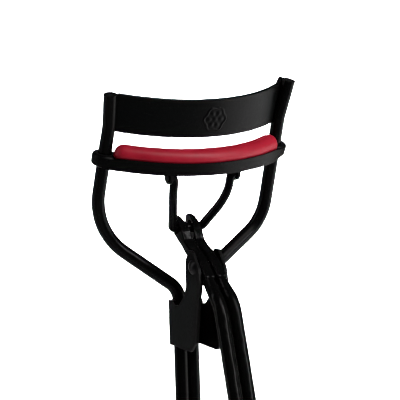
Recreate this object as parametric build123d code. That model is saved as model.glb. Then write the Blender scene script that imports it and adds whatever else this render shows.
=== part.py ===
from build123d import *
import os
from math import acos, atan2, cos, degrees, pi, radians, sin, sqrt, tan

# Eyelash curler. Millimetres, +Z up along the two posts, X across the jaws, -Y towards
# the side the jaws bulge to. The pieces are drawn about a point midway between the posts,
# level with the lower edge of the upper plate, and moved at the end so that the origin is
# the centre of the rear finger loop, where the thumb holds it. The handles are half open.

# --- frame wire: two posts, two diagonals, a double handle and a finger loop ---
FRAME_WIRE = 2.40
POST_X = 17.0
POST_TOP_X = (17.7, 17.95)
POST_TOP_Z = (6.95, 7.75)
POST_FLARE_Z = 1.0
POST_FLARE_RADIUS = 10.0
SHOULDER = (17.0, 0.0, -18.34)
SHOULDER_RADIUS = (12.5, 6.5)
STRAND_X = 1.17
THROAT = (-5.22, -28.23)
THROAT_RADIUS = 3.6
HANDLE_LEAN = 20.2
HANDLE_LENGTH = 44.0

# --- finger loops, the same pattern on both handles ---
LOOP_RADIUS = 12.8
RETURN_RADIUS = 3.0
LOOP_STEPS = 12

# --- upper plate ---
PLATE_RADIUS = 28.1
PLATE_CENTRE_Y = 23.07
PLATE_THICKNESS = 0.9
PLATE_HEIGHT = 6.85
PLATE_HALF_ANGLE = 36.3
PLATE_CORNER_RADIUS = 0.9
PLATE_FIT = 0.05

# --- sliding jaw bar: a curved channel with an eye round each post ---
BAR_RADIUS = 31.7
BAR_CENTRE_Y = 24.06
BAR_DEPTH = 4.1
BAR_WALL = 0.7
BAR_BOTTOM = -6.05
BAR_TOP = -3.8
FLOOR_HALF_ANGLE = 31.5
BACK_WALL_HALF_ANGLE = 30.6
EYE_HOLE = 2.56
EYE_RISE = (0.0, 0.75)
EYE_ROUNDING = 0.6
TAPER_START = 15.0
TAPER_END = 19.0
TAPER_DROP = (1.2, 0.6)

# --- cushion pressed into the channel ---
PAD_HALF_WIDTH = 1.75
PAD_TOP = -1.85
PAD_ROUNDING = 1.4
PAD_FOOT_HALF_WIDTH = 1.3
PAD_LIFT = 0.02
PAD_HALF_ANGLE = 29.1
PAD_FOOT_HALF_ANGLE = 27.6

# --- lugs under the bar and the link wire hooked into them ---
HINGE = (-5.3, -7.0)
LUG_X = 6.7
LUG_THICKNESS = 0.48
LUG_HALF_WIDTH = 1.15
LUG_HOLE = 1.70
LINK_WIRE = 1.6
LINK_HOOK_END_X = 7.25
LINK_HOOK_RADIUS = 0.85
LINK_KNEE_HIGH = (5.6, -5.62, -9.8)
LINK_KNEE_LOW = (4.6, -4.75, -13.1)
LINK_KNEE_RADIUS = 9.0
LINK_CORNER_X = 2.9
LINK_CORNER_RADIUS = 0.9

# --- lever: two flattened blades running into a double handle and a finger loop ---
PIVOT = (-11.1, -21.5)
BLADE_ANGLE = 25.0
BLADE_X = 1.2
BLADE_THICKNESS = 1.9
BLADE_TIP_SPLAY = 1.0
BLADE_FRONT = -3.6
BLADE_TIP = 12.1
EYE_FROM_PIVOT = 9.1
EYE_SLOT_WIDTH = 1.85
EYE_SLOT_LENGTH = 2.45
EYE_SLOT_SHIFT = 0.16
LEVER_WIRE = 2.46
LEVER_STRAND_X = 1.38
SWAGE_START = -3.2
SWAGE_HALF_DEPTH = 1.25
SWAGE_END = -7.0
LEVER_BEND_FROM_PIVOT = 8.97
LEVER_BEND_RADIUS = 6.0
LEVER_LEAN = 34.5
LEVER_LENGTH = 41.0

# --- yoke bracket: folded sheet round the handle, with two ears for the pivot ---
YOKE_INNER_HALF_WIDTH = 2.40
YOKE_SHEET = 0.5
YOKE_BACK = -1.7
YOKE_FOLD_RADIUS = 1.2
RIVET_SHANK = 1.6
RIVET_HEAD = 2.5
RIVET_HEAD_HEIGHT = 0.55
RIVET_HOLE_IN_YOKE = 1.62
RIVET_HOLE_IN_BLADE = 1.70

# Yoke side outline, forward and up from the throat of the frame, square to the handle.
YOKE_OUTLINE = [
    (YOKE_BACK, -1.75),
    (0.9, -1.75),
    (1.5, -2.6),
    (2.8, -2.5),
    (5.3, -0.3),
    (5.5, 5.3),
    (6.4, 7.2),
    (7.9, 7.0),
    (9.8, 3.9),
    (10.3, 0.6),
    (9.8, -1.0),
    (9.3, -3.0),
    (9.0, -5.0),
    (8.3, -8.8),
    (6.2, -10.5),
    (2.6, -10.0),
    (YOKE_BACK, -9.4),
]
YOKE_CORNER_RADIUS = 0.55

# Blade side outline, along and above the blade axis from the pivot.
BLADE_OUTLINE = [
    (BLADE_FRONT, -1.2),
    (0.0, -1.4),
    (2.8, -1.15),
    (5.6, -1.15),
    (7.6, -1.4),
    (9.2, -1.5),
    (10.7, -1.25),
    (BLADE_TIP, -0.3),
    (11.9, 0.45),
    (10.8, 1.0),
    (9.0, 1.3),
    (7.4, 0.95),
    (6.0, 0.4),
    (4.4, 0.5),
    (2.4, 1.15),
    (0.0, 1.45),
    (BLADE_FRONT, 1.2),
]
BLADE_CORNER_RADIUS = 0.5
BLADE_EDGE_RADIUS = 0.28


def bent_path(corners, radii):
    """Straight runs between the corners, each inner corner rounded to its radius."""
    points = [Vector(*corner) for corner in corners]
    edges = []
    start = points[0]
    for before, corner, after, radius in zip(points, points[1:], points[2:], radii):
        back = (before - corner).normalized()
        ahead = (after - corner).normalized()
        half_angle = radians(back.get_angle(ahead) / 2)
        reach = radius / tan(half_angle)
        middle = corner + (back + ahead).normalized() * (radius / sin(half_angle) - radius)
        arc_start = corner + back * reach
        arc_end = corner + ahead * reach
        edges.append(Line(start, arc_start))
        edges.append(ThreePointArc(arc_start, middle, arc_end))
        start = arc_end
    edges.append(Line(start, points[-1]))
    return edges


def round_wire(edges, diameter):
    """A round wire drawn along the edges."""
    path = Wire(edges)
    section = Plane(origin=path @ 0, z_dir=path % 0) * Circle(diameter / 2)
    return sweep(section, path=path)


def finger_loop(tangent, lean, side, strand_x):
    """Loop edges from the -X strand's end to the +X strand, and the point they join it.

    The handle runs down from the head, leaning forward by the angle. The loop bulges to
    the side given (+1 backwards, -1 forwards), and a return bend leads it back.
    """
    up = Vector(0, sin(radians(lean)), cos(radians(lean)))
    out = Vector(0, side * cos(radians(lean)), -side * sin(radians(lean)))
    start = Vector(0, *tangent)
    join_height = 2 * sqrt(LOOP_RADIUS * RETURN_RADIUS)
    turn = 2 * pi - acos((LOOP_RADIUS - RETURN_RADIUS) / (LOOP_RADIUS + RETURN_RADIUS))

    def place(x, outwards, upwards):
        return start + Vector(x, 0, 0) + out * outwards + up * upwards

    points = []
    for step in range(LOOP_STEPS + 1):
        share = step / LOOP_STEPS
        angle = pi + turn * share
        outwards = LOOP_RADIUS + LOOP_RADIUS * cos(angle)
        x = -strand_x * cos(pi * share)
        points.append(place(x, outwards, LOOP_RADIUS * sin(angle)))
    end_angle = pi + turn
    end_tangent = out * -sin(end_angle) + up * cos(end_angle)
    loop = Spline(points, tangents=[up * -1, end_tangent], tangent_scalars=[1, 1])

    middle_angle = (end_angle + pi + pi) / 2
    middle = place(
        strand_x,
        RETURN_RADIUS - RETURN_RADIUS * cos(middle_angle - pi),
        join_height + RETURN_RADIUS * sin(middle_angle - pi),
    )
    join = place(strand_x, 0, join_height)
    return_bend = ThreePointArc(points[-1], middle, join)
    return [loop, return_bend], join


def frame_half(side, lower_end):
    """Corners and bend radii of one half of the frame, from the post's top down."""
    end = 0 if side < 0 else 1
    corners = [
        (side * POST_TOP_X[end], 0, POST_TOP_Z[end]),
        (side * POST_X, 0, POST_FLARE_Z),
        (side * SHOULDER[0], SHOULDER[1], SHOULDER[2]),
        (side * STRAND_X, THROAT[0], THROAT[1]),
        lower_end,
    ]
    return corners, [POST_FLARE_RADIUS, SHOULDER_RADIUS[end], THROAT_RADIUS]


def make_frame_wire():
    """One wire: post, diagonal and handle strand, loop, and back up the other side."""
    lean = radians(HANDLE_LEAN)
    tangent = (
        THROAT[0] - HANDLE_LENGTH * sin(lean),
        THROAT[1] - HANDLE_LENGTH * cos(lean),
    )

    loop, join = finger_loop(tangent, HANDLE_LEAN, 1, STRAND_X)
    left = bent_path(*frame_half(-1, (-STRAND_X, *tangent)))
    right_corners, right_radii = frame_half(1, (join.X, join.Y, join.Z))
    right = bent_path(right_corners[::-1], right_radii[::-1])
    return round_wire(left + loop + right, FRAME_WIRE)


def curved_band(centre_y, outer_radius, inner_radius, half_angle, bottom, top):
    """An upright band following a circular arc about a centre behind the jaws."""
    outer = CenterArc((0, centre_y), outer_radius, -90 - half_angle, 2 * half_angle)
    inner = CenterArc((0, centre_y), inner_radius, -90 - half_angle, 2 * half_angle)
    face = make_face([outer, inner, Line(outer @ 0, inner @ 0), Line(outer @ 1, inner @ 1)])
    return Pos(0, 0, bottom) * extrude(face, top - bottom)


def make_upper_plate():
    """Curved sheet the lashes are pressed against."""
    inner_radius = PLATE_RADIUS - PLATE_THICKNESS
    plate = curved_band(
        PLATE_CENTRE_Y, PLATE_RADIUS, inner_radius, PLATE_HALF_ANGLE, 0, PLATE_HEIGHT
    )
    ends = plate.edges().filter_by(lambda e: abs(e.center().X) > POST_X - FRAME_WIRE)
    corners = ends.filter_by(lambda e: abs(e.center().Z - PLATE_HEIGHT) < 0.01)
    plate = fillet(corners.filter_by(GeomType.LINE), PLATE_CORNER_RADIUS)
    for side in (-1, 1):
        corners, radii = frame_half(side, (side * STRAND_X, *THROAT))
        post = bent_path(corners[:3], radii[:1])
        plate -= round_wire(post, FRAME_WIRE + PLATE_FIT)
    return plate


def make_jaw_bar():
    """Curved channel whose front wall runs on into an eye round each post."""
    back_radius = BAR_RADIUS - BAR_DEPTH
    eye_radius = BAR_RADIUS - sqrt(POST_X**2 + BAR_CENTRE_Y**2)
    eye_half_angle = degrees(atan2(POST_X, BAR_CENTRE_Y))
    floor = curved_band(
        BAR_CENTRE_Y, BAR_RADIUS, back_radius, FLOOR_HALF_ANGLE, BAR_BOTTOM, BAR_BOTTOM + BAR_WALL
    )
    front_wall = curved_band(
        BAR_CENTRE_Y, BAR_RADIUS, BAR_RADIUS - BAR_WALL, eye_half_angle, BAR_BOTTOM, BAR_TOP
    )
    back_wall = curved_band(
        BAR_CENTRE_Y, back_radius + BAR_WALL, back_radius, BACK_WALL_HALF_ANGLE, BAR_BOTTOM, BAR_TOP
    )
    bar = floor + front_wall + back_wall
    full_height = BAR_TOP - BAR_BOTTOM
    for side, rise, drop in zip((-1, 1), EYE_RISE, TAPER_DROP):
        eye_height = full_height - rise
        for edge_z, cut in ((BAR_TOP, -drop), (BAR_BOTTOM, rise)):
            if cut == 0:
                continue
            taper = Polyline(
                (side * TAPER_START, edge_z),
                (side * TAPER_END, edge_z),
                (side * TAPER_END, edge_z + cut),
                close=True,
            )
            bar -= extrude(Plane.XZ * make_face(taper), 2 * BAR_DEPTH, both=True)
        eye = Cylinder(eye_radius, eye_height)
        eye = fillet(eye.edges().filter_by(GeomType.CIRCLE), EYE_ROUNDING)
        eye_place = Pos(side * POST_X, 0, BAR_TOP - eye_height / 2)
        bar += eye_place * eye
        bar -= eye_place * Cylinder(EYE_HOLE / 2, 2 * full_height)
    return bar


def cushion_layer(half_angle, half_profile):
    """Sweep a half profile (out from the middle line, up) round the jaw, ends rounded."""
    radius = BAR_RADIUS - BAR_DEPTH / 2
    upright = Plane(origin=(0, BAR_CENTRE_Y - radius, 0), x_dir=(0, 1, 0), z_dir=(1, 0, 0))
    face = upright * (half_profile + mirror(half_profile, about=Plane.YZ))
    jaw_axis = Axis((0, BAR_CENTRE_Y, 0), (0, 0, 1))
    body = revolve(face, axis=jaw_axis, revolution_arc=2 * half_angle)
    body = body.rotate(jaw_axis, -half_angle)
    cap = revolve(Plane.XZ * half_profile, axis=Axis.Z)
    for side in (-1, 1):
        angle = radians(side * half_angle)
        body += Pos(radius * sin(angle), BAR_CENTRE_Y - radius * cos(angle), 0) * cap
    return body


def make_pad():
    """Cushion: a foot standing in the channel and a rounded crown above its walls."""
    foot_bottom = BAR_BOTTOM + BAR_WALL + PAD_LIFT
    crown_bottom = BAR_TOP + PAD_LIFT
    crown_height = PAD_TOP - crown_bottom
    crown = Pos(0, PAD_TOP - PAD_ROUNDING) * Ellipse(PAD_HALF_WIDTH, PAD_ROUNDING)
    crown += Pos(0, crown_bottom) * Rectangle(
        2 * PAD_HALF_WIDTH, 2 * (crown_height - PAD_ROUNDING)
    )
    quarter = Pos(PAD_HALF_WIDTH / 2, crown_bottom + crown_height / 2) * Rectangle(
        PAD_HALF_WIDTH, crown_height
    )
    foot_height = crown_bottom - foot_bottom
    foot = Pos(PAD_FOOT_HALF_WIDTH / 2, foot_bottom + foot_height / 2) * Rectangle(
        PAD_FOOT_HALF_WIDTH, foot_height
    )
    pad = cushion_layer(PAD_HALF_ANGLE, crown & quarter)
    return pad + cushion_layer(PAD_FOOT_HALF_ANGLE, foot)


def make_lug(side):
    """Tab under the bar with a hole for the link's hook."""
    top = BAR_BOTTOM - PAD_LIFT
    height = top - HINGE[1]
    sheet = Plane(origin=(side * LUG_X, *HINGE), x_dir=(0, 1, 0), z_dir=(1, 0, 0))
    outline = Pos(0, height / 2) * Rectangle(2 * LUG_HALF_WIDTH, height)
    outline += Circle(LUG_HALF_WIDTH) & Pos(0, height - 5) * Rectangle(10, 10)
    outline -= Circle(LUG_HOLE / 2)
    return extrude(sheet * outline, LUG_THICKNESS / 2, both=True)


def make_link_wire():
    """One bent wire: hook, leg, crossbar through the lever's eyes, leg, hook."""
    angle = radians(BLADE_ANGLE)
    crossbar = (PIVOT[0] + EYE_FROM_PIVOT * cos(angle), PIVOT[1] + EYE_FROM_PIVOT * sin(angle))

    def half(side):
        return [
            (side * LINK_HOOK_END_X, *HINGE),
            (side * LINK_KNEE_HIGH[0], *HINGE),
            (side * LINK_KNEE_HIGH[0], LINK_KNEE_HIGH[1], LINK_KNEE_HIGH[2]),
            (side * LINK_KNEE_LOW[0], LINK_KNEE_LOW[1], LINK_KNEE_LOW[2]),
            (side * LINK_CORNER_X, *crossbar),
        ]

    radii = [LINK_HOOK_RADIUS, LINK_KNEE_RADIUS, LINK_KNEE_RADIUS, LINK_CORNER_RADIUS]
    corners = half(-1) + half(1)[::-1]
    return round_wire(bent_path(corners, radii + radii[::-1]), LINK_WIRE)


def make_lever():
    """Two flat blades swaged into round strands that meet in the finger loop."""
    angle = radians(BLADE_ANGLE)
    ahead = (cos(angle), sin(angle))
    side_plane = Plane(
        origin=(0, *PIVOT), x_dir=(0, cos(angle), sin(angle)), z_dir=(1, 0, 0)
    )
    outline = make_face(Polyline(*BLADE_OUTLINE, close=True))
    outline = fillet(outline.vertices(), BLADE_CORNER_RADIUS)
    blade = extrude(side_plane * outline, BLADE_THICKNESS / 2, both=True)
    rims = blade.edges().filter_by(lambda e: abs(abs(e.center().X) - BLADE_THICKNESS / 2) < 0.01)
    blade = fillet(rims, BLADE_EDGE_RADIUS)
    holes = Circle(RIVET_HOLE_IN_BLADE / 2) + Pos(EYE_FROM_PIVOT + EYE_SLOT_SHIFT, 0) * (
        SlotOverall(EYE_SLOT_LENGTH, EYE_SLOT_WIDTH)
    )
    blade -= extrude(side_plane * holes, BLADE_THICKNESS, both=True)
    inner_face = BLADE_THICKNESS / 2
    splay = make_face(
        Polyline(
            (EYE_FROM_PIVOT - EYE_SLOT_LENGTH, inner_face),
            (BLADE_TIP + 1, inner_face),
            (BLADE_TIP + 1, inner_face - BLADE_TIP_SPLAY),
            close=True,
        )
    )
    above_blade = Plane(
        origin=(0, *PIVOT), x_dir=(0, *ahead), z_dir=(0, -ahead[1], ahead[0])
    )
    blade -= extrude(above_blade * splay, 2 * BLADE_TIP, both=True)

    def along_blade(x, distance):
        return Plane(
            origin=(x, PIVOT[0] + distance * ahead[0], PIVOT[1] + distance * ahead[1]),
            x_dir=(1, 0, 0),
            z_dir=(0, -ahead[0], -ahead[1]),
        )

    flat_end = along_blade(BLADE_X, SWAGE_START) * Ellipse(
        0.48 * BLADE_THICKNESS, SWAGE_HALF_DEPTH
    )
    round_end = along_blade(LEVER_STRAND_X, SWAGE_END) * Circle(LEVER_WIRE / 2)
    half = Pos(BLADE_X, 0, 0) * blade + loft([flat_end, round_end])
    lever = half + mirror(half, about=Plane.YZ)

    lean = radians(LEVER_LEAN)
    bend = (
        PIVOT[0] - LEVER_BEND_FROM_PIVOT * ahead[0],
        PIVOT[1] - LEVER_BEND_FROM_PIVOT * ahead[1],
    )
    swage_end = (PIVOT[0] + SWAGE_END * ahead[0], PIVOT[1] + SWAGE_END * ahead[1])
    tangent = (bend[0] - LEVER_LENGTH * sin(lean), bend[1] - LEVER_LENGTH * cos(lean))
    loop, join = finger_loop(tangent, LEVER_LEAN, -1, LEVER_STRAND_X)
    left = bent_path(
        [
            (-LEVER_STRAND_X, *swage_end),
            (-LEVER_STRAND_X, *bend),
            (-LEVER_STRAND_X, *tangent),
        ],
        [LEVER_BEND_RADIUS],
    )
    right = bent_path(
        [
            (join.X, join.Y, join.Z),
            (LEVER_STRAND_X, *bend),
            (LEVER_STRAND_X, *swage_end),
        ],
        [LEVER_BEND_RADIUS],
    )
    return lever + round_wire(left + loop + right, LEVER_WIRE)


def make_yoke():
    """Sheet folded round the back of the handle, its two sides rising into ears."""
    lean = radians(HANDLE_LEAN)
    side_plane = Plane(
        origin=(0, *THROAT), x_dir=(0, -cos(lean), sin(lean)), z_dir=(-1, 0, 0)
    )
    outer_half_width = YOKE_INNER_HALF_WIDTH + YOKE_SHEET
    outline = make_face(Polyline(*YOKE_OUTLINE, close=True))
    rounded = [v for v in outline.vertices() if v.X > YOKE_BACK + YOKE_SHEET]
    outline = fillet(rounded, YOKE_CORNER_RADIUS)
    yoke = extrude(side_plane * outline, outer_half_width, both=True)
    back_edges = yoke.edges().filter_by(lambda e: is_back_fold(e, side_plane))
    yoke = fillet(back_edges, YOKE_FOLD_RADIUS)
    inside = Pos(YOKE_BACK + YOKE_SHEET + 10, 0, 0) * Box(20, 60, 2 * YOKE_INNER_HALF_WIDTH)
    yoke -= side_plane.location * inside
    hole = Plane(origin=(0, *PIVOT), z_dir=(1, 0, 0)).location * Cylinder(
        RIVET_HOLE_IN_YOKE / 2, 4 * outer_half_width
    )
    return yoke - hole


def is_back_fold(edge, side_plane):
    """True for the two long edges along the back of the yoke."""
    ends = [side_plane.to_local_coords(vertex.center()) for vertex in edge.vertices()]
    at_back = all(abs(end.X - YOKE_BACK) < 0.01 for end in ends)
    same_side = abs(ends[0].Z - ends[-1].Z) < 0.01
    return at_back and same_side


def make_rivet():
    """Pivot rivet with a domed head outside each ear."""
    reach = YOKE_INNER_HALF_WIDTH + YOKE_SHEET + 0.01
    head_radius = RIVET_HEAD / 2
    dome_radius = (head_radius**2 + RIVET_HEAD_HEIGHT**2) / (2 * RIVET_HEAD_HEIGHT)
    crown = (0, reach + RIVET_HEAD_HEIGHT)
    half_turn = degrees(atan2(head_radius, dome_radius - RIVET_HEAD_HEIGHT))
    dome = CenterArc((0, crown[1] - dome_radius), dome_radius, 90 - half_turn, half_turn)
    shank = RIVET_SHANK / 2
    side_line = Polyline((head_radius, reach), (shank, reach), (shank, 0), (0, 0), crown)
    half = revolve(Plane.XZ * make_face([dome, side_line]), axis=Axis.Z)
    rivet = half + mirror(half, about=Plane.XY)
    return Plane(origin=(0, *PIVOT), z_dir=(1, 0, 0)).location * rivet


def rear_loop_centre():
    """Where the rear finger loop has its centre, as drawn."""
    lean = radians(HANDLE_LEAN)
    y = THROAT[0] - HANDLE_LENGTH * sin(lean) + LOOP_RADIUS * cos(lean)
    z = THROAT[1] - HANDLE_LENGTH * cos(lean) - LOOP_RADIUS * sin(lean)
    return y, z


def main():
    os.makedirs("parts", exist_ok=True)
    loop_y, loop_z = rear_loop_centre()
    pieces = {
        "frame_wire": make_frame_wire(),
        "upper_plate": make_upper_plate(),
        "yoke_bracket": make_yoke(),
        "pivot_rivet": make_rivet(),
        "lever_wire": make_lever(),
        "link_wire": make_link_wire(),
        "jaw_bar": make_jaw_bar(),
        "lug_left": make_lug(-1),
        "lug_right": make_lug(1),
        "pad": make_pad(),
    }
    for name, piece in pieces.items():
        export_step(Pos(0, -loop_y, -loop_z) * piece, f"parts/{name}.step")


main()
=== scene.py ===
import math

import bpy
from mathutils import Matrix, Vector


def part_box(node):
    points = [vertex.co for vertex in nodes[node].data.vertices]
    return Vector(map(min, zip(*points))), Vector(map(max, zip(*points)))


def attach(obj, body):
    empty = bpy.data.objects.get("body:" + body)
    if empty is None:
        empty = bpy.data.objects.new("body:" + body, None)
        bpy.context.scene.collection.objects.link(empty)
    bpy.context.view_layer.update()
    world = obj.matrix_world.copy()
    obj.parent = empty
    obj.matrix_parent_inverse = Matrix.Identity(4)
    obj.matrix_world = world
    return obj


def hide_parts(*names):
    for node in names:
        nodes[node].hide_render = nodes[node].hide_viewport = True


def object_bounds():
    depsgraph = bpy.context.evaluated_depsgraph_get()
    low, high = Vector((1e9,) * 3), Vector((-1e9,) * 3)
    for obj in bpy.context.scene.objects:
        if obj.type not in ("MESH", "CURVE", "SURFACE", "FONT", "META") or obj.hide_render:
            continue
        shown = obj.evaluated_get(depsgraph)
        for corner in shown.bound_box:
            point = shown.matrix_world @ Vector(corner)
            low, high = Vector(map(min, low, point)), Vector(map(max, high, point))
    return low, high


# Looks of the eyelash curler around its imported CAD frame. Metres, the row's own frame:
# X across the jaws, -Y towards the side the jaws bulge to, Z up along the posts.

MM = 0.001

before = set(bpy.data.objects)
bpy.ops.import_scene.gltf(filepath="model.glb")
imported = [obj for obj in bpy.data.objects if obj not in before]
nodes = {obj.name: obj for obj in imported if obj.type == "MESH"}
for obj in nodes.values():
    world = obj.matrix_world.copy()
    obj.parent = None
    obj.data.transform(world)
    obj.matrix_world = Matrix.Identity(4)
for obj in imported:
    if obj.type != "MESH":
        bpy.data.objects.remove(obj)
cad_low, cad_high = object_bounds()


# --- material helpers -------------------------------------------------------------


def new_material(name):
    material = bpy.data.materials.new(name)
    material.use_nodes = True
    return material, material.node_tree


def add(tree, kind, **values):
    """A shader node with its settings and unlinked inputs given by name."""
    node = tree.nodes.new(kind)
    for key, value in values.items():
        if hasattr(node, key):
            setattr(node, key, value)
        else:
            node.inputs[key].default_value = value
    return node


def noise(tree, coordinates, scale, detail=3.0):
    """Cloud noise from 0 to 1; the scale is in cells per metre."""
    node = add(tree, "ShaderNodeTexNoise", Scale=scale, Detail=detail, Roughness=0.55)
    tree.links.new(coordinates, node.inputs["Vector"])
    return node.outputs["Fac"]


def remap(tree, value, low, high, out_low=0.0, out_high=1.0):
    node = add(tree, "ShaderNodeMapRange")
    node.inputs["From Min"].default_value = low
    node.inputs["From Max"].default_value = high
    node.inputs["To Min"].default_value = out_low
    node.inputs["To Max"].default_value = out_high
    tree.links.new(value, node.inputs["Value"])
    return node.outputs["Result"]


def blend_colours(tree, factor, first, second):
    node = add(tree, "ShaderNodeMix", data_type="RGBA")
    # The mix node has sockets for every data type, so the colour ones are picked out.
    colour_inputs = [socket for socket in node.inputs if socket.type == "RGBA"]
    colour_inputs[0].default_value = (*first, 1)
    colour_inputs[1].default_value = (*second, 1)
    tree.links.new(factor, node.inputs["Factor"])
    return [socket for socket in node.outputs if socket.type == "RGBA"][0]


def stretched(tree, scale):
    """Object coordinates scaled per axis, for streaks and brushed grain."""
    coordinates = add(tree, "ShaderNodeTexCoord").outputs["Object"]
    mapping = add(tree, "ShaderNodeMapping")
    mapping.inputs["Scale"].default_value = scale
    tree.links.new(coordinates, mapping.inputs["Vector"])
    return mapping.outputs["Vector"]


def bump(tree, height, distance, strength, after=None):
    node = add(tree, "ShaderNodeBump", Distance=distance, Strength=strength)
    tree.links.new(height, node.inputs["Height"])
    if after is not None:
        tree.links.new(after, node.inputs["Normal"])
    return node.outputs["Normal"]


# --- materials --------------------------------------------------------------------


def lacquer(name, base, dusty, gloss, grain, reflect, ripple=0.0):
    """Black lacquer: orange-peel bump, hazy patches, specks of dust and fine rubs.

    A ripple height above zero adds the shallow dents of a hammered blade.
    """
    material, tree = new_material(name)
    shader = tree.nodes["Principled BSDF"]
    place = stretched(tree, (1, 1, 1))
    haze = noise(tree, place, scale=90.0)
    specks = noise(tree, place, scale=5200.0, detail=1.0)
    peel = noise(tree, place, scale=grain)
    rubs = noise(tree, stretched(tree, (3800, 3800, 160)), scale=1.0, detail=2.0)
    dust = remap(tree, specks, 0.70, 0.78)
    tree.links.new(blend_colours(tree, dust, base, dusty), shader.inputs["Base Color"])
    roughness = remap(tree, haze, 0.3, 0.7, gloss - 0.05, gloss + 0.07)
    tree.links.new(roughness, shader.inputs["Roughness"])
    normal = bump(tree, peel, distance=0.05 * MM, strength=0.35)
    normal = bump(tree, rubs, distance=0.008 * MM, strength=0.3, after=normal)
    if ripple > 0:
        dents = noise(tree, place, scale=420.0, detail=1.0)
        normal = bump(tree, dents, distance=ripple, strength=1.0, after=normal)
    tree.links.new(normal, shader.inputs["Normal"])
    shader.inputs["Specular IOR Level"].default_value = reflect
    return material


def cushion_rubber():
    """Red silicone rubber: soft depth, cloudy colour, faint pores and a dry skin."""
    deep_red = (0.235, 0.005, 0.015)
    light_red = (0.30, 0.008, 0.021)
    material, tree = new_material("cushion_rubber")
    shader = tree.nodes["Principled BSDF"]
    place = stretched(tree, (1, 1, 1))
    clouds = noise(tree, place, scale=260.0)
    pores = noise(tree, place, scale=9000.0, detail=1.0)
    swell = noise(tree, place, scale=900.0)
    depth = remap(tree, clouds, 0.3, 0.7)
    colour = blend_colours(tree, depth, deep_red, light_red)
    tree.links.new(colour, shader.inputs["Base Color"])
    tree.links.new(remap(tree, clouds, 0.3, 0.7, 0.36, 0.46), shader.inputs["Roughness"])
    normal = bump(tree, swell, distance=0.08 * MM, strength=0.25)
    normal = bump(tree, pores, distance=0.01 * MM, strength=0.4, after=normal)
    tree.links.new(normal, shader.inputs["Normal"])
    shader.inputs["Subsurface Weight"].default_value = 0.15
    shader.inputs["Subsurface Radius"].default_value = (1.2 * MM, 0.3 * MM, 0.2 * MM)
    shader.inputs["Subsurface Scale"].default_value = 1.0
    shader.inputs["Specular IOR Level"].default_value = 0.14
    return material


def floor_paper():
    """Plain white paper with the faintest mottling."""
    grey_white = (0.90, 0.90, 0.90)
    clean_white = (0.92, 0.92, 0.92)
    material, tree = new_material("floor_paper")
    shader = tree.nodes["Principled BSDF"]
    mottle = noise(tree, stretched(tree, (1, 1, 1)), scale=3.0)
    factor = remap(tree, mottle, 0.3, 0.7)
    colour = blend_colours(tree, factor, grey_white, clean_white)
    tree.links.new(colour, shader.inputs["Base Color"])
    shader.inputs["Roughness"].default_value = 0.9
    shader.inputs["Specular IOR Level"].default_value = 0.0
    return material


COAT = (0.0014, 0.0014, 0.0015)
COAT_DUST = (0.012, 0.012, 0.012)
RIVET_COAT = (0.003, 0.003, 0.0033)
RIVET_DUST = (0.02, 0.02, 0.02)

wire_black = lacquer("wire_black", COAT, COAT_DUST, gloss=0.18, grain=1500.0, reflect=0.045)
lever_black = lacquer(
    "lever_black", COAT, COAT_DUST, gloss=0.18, grain=1500.0, reflect=0.045, ripple=0.15 * MM
)
sheet_black = lacquer("sheet_black", COAT, COAT_DUST, gloss=0.30, grain=1900.0, reflect=0.045)
rivet_black = lacquer("rivet_black", RIVET_COAT, RIVET_DUST, gloss=0.26, grain=2400.0, reflect=0.12)
red_rubber = cushion_rubber()


def paint(piece, material):
    piece.data.materials.clear()
    piece.data.materials.append(material)


PAINTED = {
    "frame_wire": wire_black,
    "upper_plate": sheet_black,
    "yoke_bracket": sheet_black,
    "pivot_rivet": rivet_black,
    "lever_wire": lever_black,
    "link_wire": wire_black,
    "jaw_bar": sheet_black,
    "lug_left": sheet_black,
    "lug_right": sheet_black,
    "pad": red_rubber,
}
for node_name, coat in PAINTED.items():
    paint(nodes[node_name], coat)


# --- pieces finer than the CAD ----------------------------------------------------


def mesh_piece(name, vertices, faces, material):
    mesh = bpy.data.meshes.new(name)
    mesh.from_pydata(vertices, [], faces)
    mesh.update()
    for polygon in mesh.polygons:
        polygon.use_smooth = True
    mesh.materials.append(material)
    piece = bpy.data.objects.new(name, mesh)
    bpy.context.scene.collection.objects.link(piece)
    return piece


def ring_faces(rings, around):
    """Quads between closed rings of equally many points."""
    faces = []
    for ring in range(rings - 1):
        for step in range(around):
            after = (step + 1) % around
            here = ring * around
            above = here + around
            faces.append((here + step, here + after, above + after, above + step))
    return faces


def on_arc(centre_y, radius, angle, z):
    """A point on an upright cylinder that bulges towards -Y; angle 0 is its foremost line."""
    return radius * math.sin(angle), centre_y - radius * math.cos(angle), z


plate_low, plate_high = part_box("upper_plate")
bar_low, bar_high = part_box("jaw_bar")
pad_low, pad_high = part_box("pad")

PLATE_RADIUS = 28.1 * MM
BAR_RADIUS = 31.7 * MM
CHANNEL_RADIUS = 29.65 * MM
plate_centre_y = plate_low.y + PLATE_RADIUS
bar_centre_y = bar_low.y + BAR_RADIUS

CROWN_HALF_WIDTH = 1.74 * MM
CROWN_FULLNESS = 0.8
FOOT_HALF_WIDTH = 1.28 * MM
FOOT_DEPTH = 1.5 * MM
FOOT_TUCK_RATE = 2.2
FOOT_FLAT_SHARE = 0.12
CUSHION_HALF_ANGLE = math.radians(32.5)
CUSHION_END_REACH = math.radians(3.4)
LEFT_END_SWELL = 0.06
RIGHT_END_SWELL = 0.16


def cushion_outline(turn):
    """One point of the cushion's section: out from its middle line, up from the wall tops."""
    outwards = CROWN_HALF_WIDTH * math.cos(turn)
    up = math.sin(turn)
    if up >= 0:
        return outwards, (pad_high.z - bar_high.z) * up**CROWN_FULLNESS
    tuck = min(1.0, -up * FOOT_TUCK_RATE)
    squeeze = 1 - tuck * (1 - FOOT_HALF_WIDTH / CROWN_HALF_WIDTH)
    sink = max(0.0, (-up - FOOT_FLAT_SHARE) / (1 - FOOT_FLAT_SHARE))
    return outwards * squeeze, -FOOT_DEPTH * sink


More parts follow.
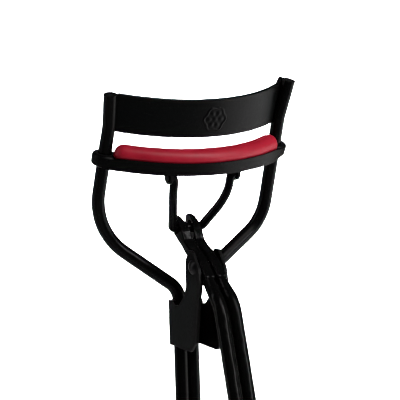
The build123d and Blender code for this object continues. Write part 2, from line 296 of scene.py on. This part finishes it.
def end_fullness(angle):
    """1 along the cushion, falling to 0 in a quarter circle at either end."""
    from_end = CUSHION_HALF_ANGLE - abs(angle)
    if from_end >= CUSHION_END_REACH:
        return 1.0
    return math.sqrt(max(0.0, 1 - (1 - from_end / CUSHION_END_REACH) ** 2))


def end_swell(share):
    """How much fuller the crown stands towards the ends, more on the right."""
    return (RIGHT_END_SWELL if share > 0 else LEFT_END_SWELL) * abs(share) ** 4


def make_cushion():
    """Rubber strip following the channel, with full rounded ends and a soft swell."""
    rings = 121
    around = 40
    vertices = []
    for ring in range(rings):
        # The cosine sets the rings closer together towards the rounded ends.
        share = -math.cos(math.pi * ring / (rings - 1))
        angle = CUSHION_HALF_ANGLE * share
        fullness = end_fullness(angle)
        waviness = 1 + 0.012 * math.sin(35.0 * angle + 0.6)
        for step in range(around):
            outwards, up = cushion_outline(2 * math.pi * step / around)
            # The ends round down from the crown and up from the foot.
            up *= fullness
            if up > 0:
                up *= 1 + end_swell(share)
            radius = CHANNEL_RADIUS + outwards * fullness * waviness
            vertices.append(on_arc(bar_centre_y, radius, angle, bar_high.z + up))
    return mesh_piece("cushion_strip", vertices, ring_faces(rings, around), red_rubber)


cushion = make_cushion()
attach(cushion, "jaw")
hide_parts("pad")

ROSETTE_SIZE = 2.5 * MM
ROSETTE_X = 0.9 * MM
ROSETTE_RISE = 3.3 * MM
ROSETTE_RELIEF = 0.11 * MM
ROSETTE_EDGE_SINK = 0.02 * MM
ROSETTE_PETALS = 6


def ridge(offset, width):
    """A smooth hump 1 high over offset 0, falling away over the width."""
    return math.exp(-((offset / width) ** 2))


def rosette_height(share, turn):
    """Relief of a plain rosette: scalloped rim, six petals and a centre boss.

    The share is the distance from the middle, 1 at the outer edge.
    """
    wave = math.cos(ROSETTE_PETALS * turn)
    rim = ridge(share - (0.82 + 0.07 * wave), 0.07)
    boss = ridge(share, 0.16)
    petals = ridge(share - 0.46, 0.17) * (0.5 + 0.5 * wave) ** 1.2
    fade = min(1.0, (1 - share) / 0.08)
    return ROSETTE_RELIEF * max(rim, boss, petals) * fade - ROSETTE_EDGE_SINK * (1 - fade)


def make_rosette():
    """Small embossed ornament on the plate's outer face."""
    rings = 40
    around = 96
    innermost = 0.001
    vertices = []
    for ring in range(rings):
        share = 1 - (1 - innermost) * ring / (rings - 1)
        for step in range(around):
            turn = 2 * math.pi * step / around
            across = ROSETTE_X + ROSETTE_SIZE * share * math.cos(turn)
            z = plate_low.z + ROSETTE_RISE + ROSETTE_SIZE * share * math.sin(turn)
            radius = PLATE_RADIUS + rosette_height(share, turn)
            vertices.append(on_arc(plate_centre_y, radius, across / PLATE_RADIUS, z))
    return mesh_piece("plate_rosette", vertices, ring_faces(rings, around), sheet_black)


BRAZE_START = 14.8 * MM
BRAZE_END = 17.3 * MM
BRAZE_RISE = 0.95 * MM
BRAZE_DEPTH = 1.6 * MM
HALF_SHEET = 0.45 * MM


def boxy(value):
    """Pushes a sine or cosine outwards, so that a circle turns into a rounded box."""
    return math.copysign(abs(value) ** 0.5, value)


def make_braze():
    """Brazed web that rises in a hollow curve from the plate's top to the right post."""
    rings = 24
    around = 20
    middle_radius = PLATE_RADIUS - HALF_SHEET
    bottom = plate_high.z - BRAZE_DEPTH
    vertices = []
    for ring in range(rings):
        share = ring / (rings - 1)
        across = BRAZE_START + (BRAZE_END - BRAZE_START) * share
        top = plate_high.z + BRAZE_RISE * share**2.2
        thickness = HALF_SHEET * (1 + 0.5 * share**2)
        angle = math.asin(across / middle_radius)
        for step in range(around):
            turn = 2 * math.pi * step / around
            radius = middle_radius + thickness * boxy(math.cos(turn))
            z = (top + bottom) / 2 + (top - bottom) / 2 * boxy(math.sin(turn))
            vertices.append(on_arc(plate_centre_y, radius, angle, z))
    faces = ring_faces(rings, around)
    faces.append(tuple(range(around - 1, -1, -1)))
    faces.append(tuple((rings - 1) * around + step for step in range(around)))
    return mesh_piece("plate_braze", vertices, faces, sheet_black)


braze = make_braze()
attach(braze, "frame")

rosette = make_rosette()
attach(rosette, "frame")


# --- floor, camera and light ------------------------------------------------------

FLOOR_DROP = 0.25
FLOOR_HALF = 6.0
floor_z = cad_low.z - FLOOR_DROP


def make_floor():
    corners = [
        (-FLOOR_HALF, -FLOOR_HALF, floor_z),
        (FLOOR_HALF, -FLOOR_HALF, floor_z),
        (FLOOR_HALF, FLOOR_HALF, floor_z),
        (-FLOOR_HALF, FLOOR_HALF, floor_z),
    ]
    floor = mesh_piece("floor", corners, [(0, 1, 2, 3)], floor_paper())


make_floor()

# The camera's azimuth turns from the front, -Y, towards -X.
CAMERA_TARGET = Vector((3.66 * MM, 8.40 * MM, 60.01 * MM))
CAMERA_DISTANCE = 1.1
CAMERA_AZIMUTH = math.radians(32.8)
CAMERA_ELEVATION = math.radians(20.7)
CAMERA_ROLL = math.radians(8.93)
CAMERA_LENS = 570.2


def make_camera():
    back = Vector((
        -math.sin(CAMERA_AZIMUTH) * math.cos(CAMERA_ELEVATION),
        -math.cos(CAMERA_AZIMUTH) * math.cos(CAMERA_ELEVATION),
        math.sin(CAMERA_ELEVATION),
    ))
    level = Vector((0, 0, 1)).cross(back).normalized()
    upright = back.cross(level)
    right = level * math.cos(CAMERA_ROLL) + upright * math.sin(CAMERA_ROLL)
    up = back.cross(right)
    data = bpy.data.cameras.new("camera")
    data.lens = CAMERA_LENS
    data.sensor_width = 36.0
    data.clip_start = 0.05
    data.clip_end = 20.0
    camera = bpy.data.objects.new("camera", data)
    bpy.context.scene.collection.objects.link(camera)
    turn = Matrix((right, up, back)).transposed()
    camera.matrix_world = Matrix.Translation(CAMERA_TARGET + back * CAMERA_DISTANCE) @ turn.to_4x4()
    bpy.context.scene.camera = camera


make_camera()


def softbox(name, azimuth, elevation, distance, width, height, power):
    """A rectangular area light aimed at the jaws. Azimuth 0 stands in front, 90 to the right."""
    turn = math.radians(azimuth)
    lift = math.radians(elevation)
    away = Vector((
        math.sin(turn) * math.cos(lift),
        -math.cos(turn) * math.cos(lift),
        math.sin(lift),
    ))
    data = bpy.data.lights.new(name, "AREA")
    data.shape = "RECTANGLE"
    data.size = width
    data.size_y = height
    data.energy = power
    lamp = bpy.data.objects.new(name, data)
    lamp.location = CAMERA_TARGET + away * distance
    lamp.rotation_mode = "QUATERNION"
    lamp.rotation_quaternion = away.to_track_quat("Z", "Y")
    bpy.context.scene.collection.objects.link(lamp)


softbox("right_softbox", 63, -12, distance=0.70, width=0.62, height=0.60, power=4.0)
softbox("left_strip", -115, 15, distance=0.80, width=0.07, height=0.90, power=2.0)
softbox("top_softbox", 25, 60, distance=0.90, width=0.50, height=0.50, power=5.0)
softbox("front_strip", 40, 35, distance=0.80, width=0.05, height=0.55, power=5.0)

BACKDROP_X = 0.58
BACKDROP_Y = 0.86
BACKDROP_RISE = 0.8


def backdrop_light():
    """A light straight over the part of the floor seen behind the object."""
    data = bpy.data.lights.new("backdrop_light", "AREA")
    data.shape = "DISK"
    data.size = 0.5
    data.energy = 12.0
    data.spread = math.radians(50)
    lamp = bpy.data.objects.new("backdrop_light", data)
    lamp.location = Vector((BACKDROP_X, BACKDROP_Y, floor_z + BACKDROP_RISE))
    bpy.context.scene.collection.objects.link(lamp)


backdrop_light()

world = bpy.data.worlds.new("studio")
world.use_nodes = True
background = world.node_tree.nodes["Background"]
background.inputs["Color"].default_value = (1, 1, 1, 1)
background.inputs["Strength"].default_value = 0.08
bpy.context.scene.world = world
bpy.context.scene.view_settings.view_transform = "Standard"
